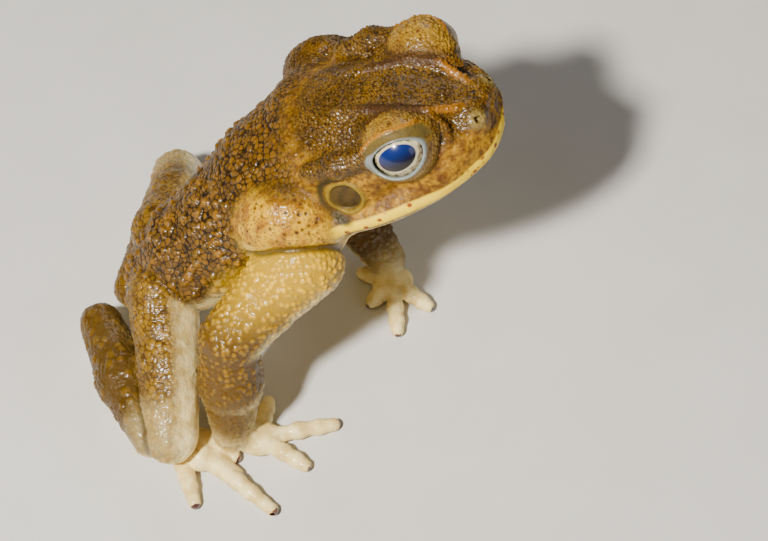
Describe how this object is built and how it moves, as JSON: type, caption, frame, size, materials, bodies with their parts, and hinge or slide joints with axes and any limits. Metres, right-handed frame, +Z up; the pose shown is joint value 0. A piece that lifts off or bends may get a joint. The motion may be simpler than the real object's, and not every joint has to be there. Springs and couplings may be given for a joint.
{
  "type": "cane toad",
  "caption": "Still, life-size cane toad sitting up on its hands and feet with the head raised and turned.",
  "frame": {"origin": "on the floor under the middle of the toad's box", "axes": "+X the way the body faces, +Y the toad's left, +Z up"},
  "size_m": [0.0964, 0.0994, 0.0755],
  "materials": {
    "head_skin": "wet brown and golden skin with fine grains",
    "back_skin": "wet brown skin with orange-brown warts",
    "gland_skin": "wet golden skin with dark pores",
    "limb_skin": "wet ochre skin with small glossy warts",
    "pale_skin": "smooth cream skin with dark tips",
    "eardrum": "thin olive-brown skin with a pale rim",
    "eye": "wet glossy eye with a dark pupil and a pale gold iris"
  },
  "bodies": {
    "root": {"head": "head_skin", "torso": "back_skin", "parotoid_R": "gland_skin", "parotoid_L": "gland_skin", "eye_R": "eye", "eye_L": "eye", "tympanum_R": "eardrum", "tympanum_L": "eardrum", "upper_arm_R": "limb_skin", "upper_arm_L": "limb_skin", "forearm_R": "limb_skin", "forearm_L": "limb_skin", "hand_R": "pale_skin", "hand_L": "pale_skin", "thigh_R": "limb_skin", "thigh_L": "limb_skin", "shank_R": "limb_skin", "shank_L": "limb_skin", "foot_R": "pale_skin", "foot_L": "pale_skin"}
  },
  "joints": []
}
